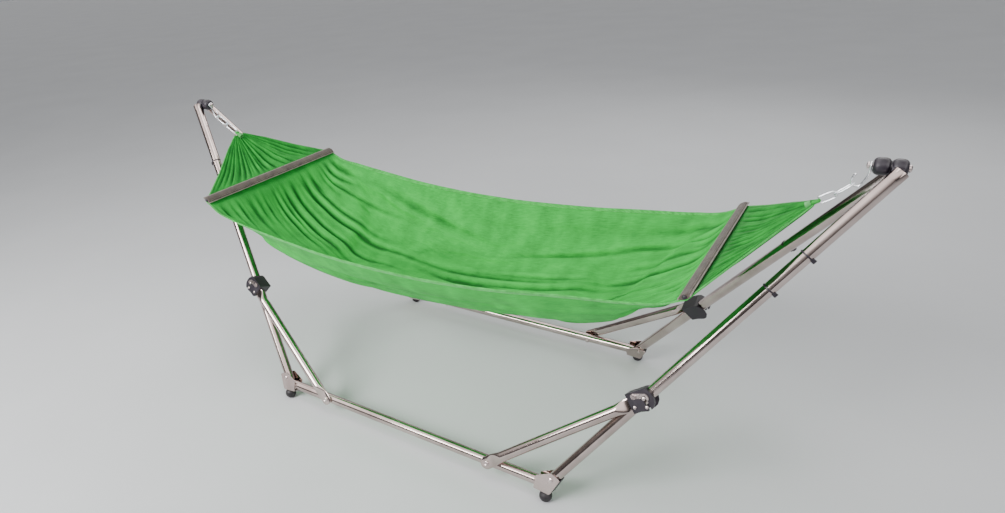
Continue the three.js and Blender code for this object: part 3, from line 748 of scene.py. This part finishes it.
# Painted shade on the cloth before its creases: an even level between the bars, and a darker painted
# shade in each fan.
OPEN_PAINTED_SHADE, LEFT_FAN_PAINTED_SHADE, RIGHT_FAN_PAINTED_SHADE = 0.5, 0.36, 0.27
# The crease depth in millimetres that gives full painted shade in a valley, and the height that gives
# full painted light on a ridge.
VALLEY_PAINTED_SHADE_DEPTH, RIDGE_PAINTED_LIGHT_HEIGHT = 21, 40


def folded_row(x, painted_shades):
    """One row of cloth: the hanging curve with its pleats and creases. Adds each point's painted shade
    and light to the list.
    """
    x, half, edge, sag, flat = section_at(x)
    line = []
    for j in range(COLUMNS + 1):
        v = 2 * j / COLUMNS - 1
        line.append(Vector((x, half * v, edge - sag * (1 - abs(v) ** HANG))))
    arc = sum((b - a).length for a, b in zip(line, line[1:]))
    inside = BAND_X["left"] < x < BAND_X["right"]
    from_bar = min(abs(x - BAND_X["left"]), abs(x - BAND_X["right"]))
    row = []
    for j, p in enumerate(line):
        v = 2 * j / COLUMNS - 1
        tangent = (line[min(j + 1, COLUMNS)] - line[max(j - 1, 0)]).normalized()
        normal = Vector((0, -tangent.z, tangent.y)) if inside else Vector((0, 0, 1))
        drift = noise.noise(Vector((x / 420, v * 3.1, SEED))) * 1.9
        pleat = math.sin(math.pi * PLEATS * v + drift) * min(PLEAT_HEIGHT, half * 0.1)
        pleat *= blend_at(from_bar, 8, 90)
        # Folds fade at the hems, on the side walls, and most on the front wall, which hangs smooth.
        calm = 1 - 0.85 * blend_at(abs(v), 0.94, 1)
        if inside:
            calm *= 1 - 0.55 * blend_at(abs(v), 0.5, 0.8) * blend_at(from_bar, 60, 200)
            calm *= 1 - 0.75 * blend_at(-v, 0.16, 0.36) * blend_at(from_bar, 30, 150)
        height = crease_height(x, v, arc / 2) * calm
        row.append(p + normal * (pleat * calm + height))
        # Painted shade: darker in the fans and down in crease valleys. Painted light: lighter up on
        # crease ridges.
        base_painted_shade = OPEN_PAINTED_SHADE if inside else (LEFT_FAN_PAINTED_SHADE if x < 0 else RIGHT_FAN_PAINTED_SHADE)
        tone = base_painted_shade + height / (VALLEY_PAINTED_SHADE_DEPTH if height < 0 else RIDGE_PAINTED_LIGHT_HEIGHT)
        painted_shades.append(min(max(tone, 0), 1))
    return row, flat


def cloth_grid():
    """The cloth's rows of points, the width of each row when flat, and the points' painted shade and
    light.
    """
    grid, flats, painted_shades = [], [], []
    for x in cloth_rows():
        row, flat = folded_row(x, painted_shades)
        grid.append(row)
        flats.append(flat)
    return grid, flats, painted_shades


CLOTH_THICKNESS = 0.0014
SETTLE_FRAMES = 20
HELD_BY_BAR = 14
MOST_MOVE, LESS_AT_HEMS = 0.014, 0.012


def simulated(obj, frames):
    """Lets the cloth settle under its own weight. It is pinned at the bars and beyond them, and no
    point may move further than MOST_MOVE."""
    scene = bpy.context.scene
    before = [v.co.copy() for v in obj.data.vertices]
    cloth = obj.modifiers.new("hang", "CLOTH")
    settings = cloth.settings
    settings.quality = 7
    settings.mass = 0.002
    settings.tension_stiffness = settings.shear_stiffness = 110
    settings.compression_stiffness = 25
    settings.bending_stiffness = 0.06
    settings.tension_damping = settings.compression_damping = 12
    settings.air_damping = 2
    settings.shrink_min = -0.012
    settings.vertex_group_mass = "held"
    cloth.collision_settings.use_collision = False
    cloth.point_cache.frame_start, cloth.point_cache.frame_end = 1, frames
    for step in range(1, frames + 1):
        scene.frame_set(step)
    settled = obj.evaluated_get(bpy.context.evaluated_depsgraph_get()).to_mesh()
    after = [v.co.copy() for v in settled.vertices]
    obj.modifiers.remove(cloth)
    scene.frame_set(1)
    for vertex, old, new in zip(obj.data.vertices, before, after):
        move = new - old
        v = abs(2 * (vertex.index % PER_ROW) / COLUMNS - 1)
        most = MOST_MOVE - LESS_AT_HEMS * blend_at(v, 0.8, 1)
        if move.length > 1e-9:
            move *= most * math.tanh(move.length / most) / move.length
        vertex.co = old + move


grid, flats, painted_shades = cloth_grid()
corners = [i * PER_ROW + j for i in range(len(grid) - 1) for j in range(COLUMNS)]
mesh = bpy.data.meshes.new("cloth")
mesh.from_pydata(
    [p * MM for row in grid for p in row], [],
    [(c, c + PER_ROW, c + PER_ROW + 1, c + 1) for c in corners],
)
cloth = bpy.data.objects.new("cloth", mesh)
bpy.context.scene.collection.objects.link(cloth)
held = cloth.vertex_groups.new(name="held")
for i, row in enumerate(grid):
    x = row[0].x
    if not BAND_X["left"] + HELD_BY_BAR <= x <= BAND_X["right"] - HELD_BY_BAR:
        held.add([i * PER_ROW + j for j in range(PER_ROW)], 1.0, "REPLACE")
lengths = [0.0]
for a, b in zip(grid, grid[1:]):
    lengths.append(lengths[-1] + sum((q - p).length for p, q in zip(a, b)) / PER_ROW * MM)
# The painted shade and light go into the cloth's colour attribute, which the knit material reads.
shade = mesh.color_attributes.new(name="painted_light_and_shade", type="FLOAT_COLOR", domain="POINT")
for mark, tone in zip(shade.data, painted_shades):
    mark.color = (tone, tone, tone, 1)
weave = mesh.uv_layers.new(name="weave")
for loop in mesh.loops:
    i, j = divmod(loop.vertex_index, PER_ROW)
    weave.data[loop.index].uv = ((j / COLUMNS - 0.5) * flats[i] * MM, lengths[i])
simulated(cloth, SETTLE_FRAMES)
for polygon in mesh.polygons:
    polygon.use_smooth = True
mesh.materials.append(GREEN)
smoother = cloth.modifiers.new("soft", "SUBSURF")
smoother.levels = smoother.render_levels = 1
thick = cloth.modifiers.new("thick", "SOLIDIFY")
thick.thickness, thick.offset = CLOTH_THICKNESS, 0.0
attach(cloth, "hammock")
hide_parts("hammock_cloth")

hung = [
    [mesh.vertices[i * PER_ROW + j].co / MM for j in range(PER_ROW)] for i in range(len(grid))
]
HEM_WIDE, STITCH_INSET, STITCH_STEP, STITCH_LONG, THREAD_RADIUS = 13.0, 3.4, 6.6, 4.2, 0.55


def hem(edge):
    """The cloth's side edge rolled double, and its line of stitches."""
    roll, stitches = Shape(), Shape()
    inner = 2 if edge == 0 else COLUMNS - 2
    rings, line = [], []
    for i in range(len(hung)):
        p, q = hung[i][edge], hung[i][inner]
        inward = (q - p).normalized()
        along = (hung[min(i + 1, len(hung) - 1)][edge] - hung[max(i - 1, 0)][edge]).normalized()
        normal = inward.cross(along).normalized()
        if normal.z < 0:
            normal = -normal
        reach = min(HEM_WIDE, (q - p).length)
        profile = ((-1.5, 0), (-0.9, 1.5), (1, 2.0), (reach * 0.7, 1.9), (reach - 1, 1.5), (reach, 0),
                   (reach - 1, -1.5), (reach * 0.7, -1.9), (1, -2.0), (-0.9, -1.5))
        rings.append([p + inward * a + normal * b for a, b in profile])
        line.append((p + inward * (reach - STITCH_INSET), normal))
    roll.loft(rings)
    for side in (1, -1):
        for (a, na), (b, nb) in zip(line[4:-5], line[5:-4]):
            span = (b - a).length
            at = 0.0
            while at + 4.6 < span or at == 0.0:
                s, e = a.lerp(b, at / span), a.lerp(b, min((at + STITCH_LONG) / span, 1))
                stitches.dash(s + na * 2.0 * side, e + nb * 2.0 * side, THREAD_RADIUS)
                at += STITCH_STEP
    return roll, stitches


trims = []
for label, edge in (("front", 0), ("rear", COLUMNS)):
    roll, stitches = hem(edge)
    trims.append(piece(label + "_hem", roll, HEM, "hammock", "green_fabric", smooth=60))
    trims.append(piece(label + "_hem_stitches", stitches, THREAD, "hammock", "green_fabric"))


# ---- the spreader sleeves -----------------------------------------------------------------
SLEEVE_SLOPE, SLEEVE_STEPS = 30, 90
BAR_HEIGHT, ABOVE_BAR = 690, 12.4
BAND_HALF_WIDE, BAND_HALF_THICK, PIPING_AT, BAND_STITCH_AT = 14.5, 6.4, 15.4, 11.4


def sleeve(end):
    """A flat tape sleeve on the bar, a little uneven, with piping and stitches on both edges."""
    sign = ENDS[end]
    half = next(s[1] for s in SECTIONS if s[0] == BAND_X[end])
    slope = math.radians(SLEEVE_SLOPE)
    along = Vector((sign * math.cos(slope), 0, math.sin(slope)))
    square = Vector((-sign * math.sin(slope), 0, math.cos(slope)))
    middle = Vector((BAND_X[end], 0, BAR_HEIGHT)) + square * ABOVE_BAR
    band, piping, stitches, caps = Shape(), Shape(), Shape(), Shape()
    rings, edges = [], {-1: [], 1: []}
    for i in range(SLEEVE_STEPS + 1):
        y = half * (2 * i / SLEEVE_STEPS - 1)
        puff = 1 + 0.10 * noise.noise(Vector((y / 35, sign, 0.3)))
        centre = middle + Vector((0, y, 0))
        ring = []
        for j in range(24):
            a = 2 * math.pi * j / 24
            c, s = math.cos(a), math.sin(a)
            flatter = 1 - 0.45 * abs(c) ** 4
            ring.append(centre + along * BAND_HALF_WIDE * math.copysign(abs(c) ** 0.8, c)
                        + square * BAND_HALF_THICK * puff * flatter * s)
        rings.append(ring)
        for way in (-1, 1):
            seam = centre + along * BAND_STITCH_AT * way + square * 4.7
            edges[way].append((centre + along * PIPING_AT * way, seam))
    band.loft(rings)
    for way in (-1, 1):
        path = [a for a, _ in edges[way]]
        past = Vector((0, 3, 0))
        piping.tube([path[0] - past] + path + [path[-1] + past], 1.7, 10, up=along)
        run = [b for _, b in edges[way]]
        for p, q in zip(run[1:-1], run[2:]):
            stitches.dash(p, p.lerp(q, 0.64), 0.6)
    for way in (-1, 1):
        tip = middle + Vector((0, way * (half - 4), 0))
        caps.turned([(0, 0), (5.6, 0), (5.8, 3), (5.4, 6.5), (3.6, 8.4), (0, 9)], tip, (0, way, 0))
    made = piece(end + "_band", band, TAPE, "hammock", "brown_tape", smooth=70)
    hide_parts(end + "_spreader_sleeve")
    return [
        made,
        piece(end + "_band_piping", piping, PIPING, "hammock", "brown_tape"),
        piece(end + "_band_stitches", stitches, PIPING, "hammock", "brown_tape"),
        piece(end + "_bar_caps", caps, BLACK, "hammock", "black_plastic"),
    ]


# ---- the sewn loops that hold the chain's last links ---------------------------------------
def loop_and_wrap(end):
    """A doubled strap round the link's end wire, and the whipping that binds it to the cloth."""
    at, pull = LINK_END[end]
    sign, wire = ENDS[end], CHAINS[end]["wire"]
    bend = wire + 2.6
    square = Vector((0, 1, 0)).cross(pull)
    path = []
    for i in range(5):
        path.append(at + pull * (26 - 5 * i) + Vector((0, bend * (0.55 + 0.11 * i), 0)))
    for i in range(13):
        a = math.pi * i / 12
        path.append(at - pull * bend * math.sin(a) + Vector((0, bend * math.cos(a), 0)))
    for i in range(5):
        path.append(at + pull * (6 + 5 * i) - Vector((0, bend * (0.99 - 0.11 * i), 0)))
    strap, wrap = Shape(), Shape()
    strap.tube(path, 2.2, 12, flat=1.9, up=square)
    for k in range(7):
        centre = at + pull * (15 + 1.9 * k)
        turn = [centre + Vector((0, 8.6 * math.cos(a), 0)) + square * 7.4 * math.sin(a)
                for a in (2 * math.pi * j / 28 for j in range(28))]
        wrap.tube(turn, 1.15, 8, closed=True, up=pull)
    return [
        piece(end + "_end_loop", strap, HEM, "hammock", "green_fabric", sx=sign, smooth=60),
        piece(end + "_end_whipping", wrap, THREAD, "hammock", "green_fabric", sx=sign),
    ]


for end in ENDS:
    trims += sleeve(end)
    trims += loop_and_wrap(end)

# ---- stage and light ----------------------------------------------------------------------
FLOOR_HALF = 60
AIM = Vector((0, 0, 0.4))
# Each lamp's place, size in metres and power in watts.
LAMPS = {
    "key": ((-1.5, -3.4, 2.6), 2.0, 205), "fill": ((3.6, -1.6, 2.2), 2.0, 32),
    "rim": ((0.6, 3.6, 3.0), 2.2, 34), "top": ((0, 0, 4.4), 2.0, 38),
}
ROOM_COLOUR, ROOM_STRENGTH = (0.84, 0.86, 0.89, 1), 0.36
# What the steel mirrors: how bright the room is at each height, from straight down to straight up.
MIRROR_BANDS = (
    (0.0, 0.45), (0.42, 0.08), (0.54, 0.05), (0.66, 0.35), (0.77, 2.2), (0.9, 2.4), (1.0, 0.7),
)

stage = bmesh.new()
bmesh.ops.create_grid(stage, x_segments=8, y_segments=8, size=FLOOR_HALF)
floor_mesh = bpy.data.meshes.new("floor")
stage.to_mesh(floor_mesh)
stage.free()
floor = bpy.data.objects.new("floor", floor_mesh)
bpy.context.scene.collection.objects.link(floor)
floor_paint = Paint("floor_paint", Metallic=0.0)
patchy = floor_paint.noise(1.5)
floor_paint.colour(floor_paint.ramp(patchy, (0.78, 0.79, 0.80), (0.82, 0.83, 0.84)))
floor_paint.rough(floor_paint.range(floor_paint.noise(3), 0.75, 0.85))
floor_mesh.materials.append(floor_paint.material)

for name, (place, size, power) in LAMPS.items():
    lamp = bpy.data.lights.new(name, "AREA")
    lamp.shape, lamp.size, lamp.energy = "SQUARE", size, power
    light = bpy.data.objects.new(name, lamp)
    light.location = place
    light.rotation_mode = "QUATERNION"
    light.rotation_quaternion = (Vector(place) - AIM).to_track_quat("Z", "Y")
    bpy.context.scene.collection.objects.link(light)

# The room is even and pale to the eye, and darker towards the horizon where steel mirrors it.
world = bpy.data.worlds.new("room")
bpy.context.scene.world = world
world.use_nodes = True
tree = world.node_tree
ground = tree.nodes["Background"]
ground.inputs["Color"].default_value = ROOM_COLOUR
ground.inputs["Strength"].default_value = ROOM_STRENGTH
mirror = tree.nodes.new("ShaderNodeBackground")
direction = tree.nodes.new("ShaderNodeTexCoord")
split = tree.nodes.new("ShaderNodeSeparateXYZ")
shades = tree.nodes.new("ShaderNodeValToRGB")
while len(shades.color_ramp.elements) < len(MIRROR_BANDS):
    shades.color_ramp.elements.new(0.5)
for element, (position, bright) in zip(shades.color_ramp.elements, MIRROR_BANDS):
    element.position, element.color = position, (bright, bright * 0.97, bright * 0.96, 1)
scale = tree.nodes.new("ShaderNodeMapRange")
scale.inputs["From Min"].default_value = -1.0
path = tree.nodes.new("ShaderNodeLightPath")
mix = tree.nodes.new("ShaderNodeMixShader")
tree.links.new(direction.outputs["Generated"], split.inputs[0])
tree.links.new(split.outputs[2], scale.inputs["Value"])
tree.links.new(scale.outputs[0], shades.inputs["Fac"])
tree.links.new(shades.outputs["Color"], mirror.inputs["Color"])
tree.links.new(path.outputs["Is Glossy Ray"], mix.inputs["Fac"])
tree.links.new(ground.outputs[0], mix.inputs[1])
tree.links.new(mirror.outputs[0], mix.inputs[2])
tree.links.new(mix.outputs[0], tree.nodes["World Output"].inputs["Surface"])
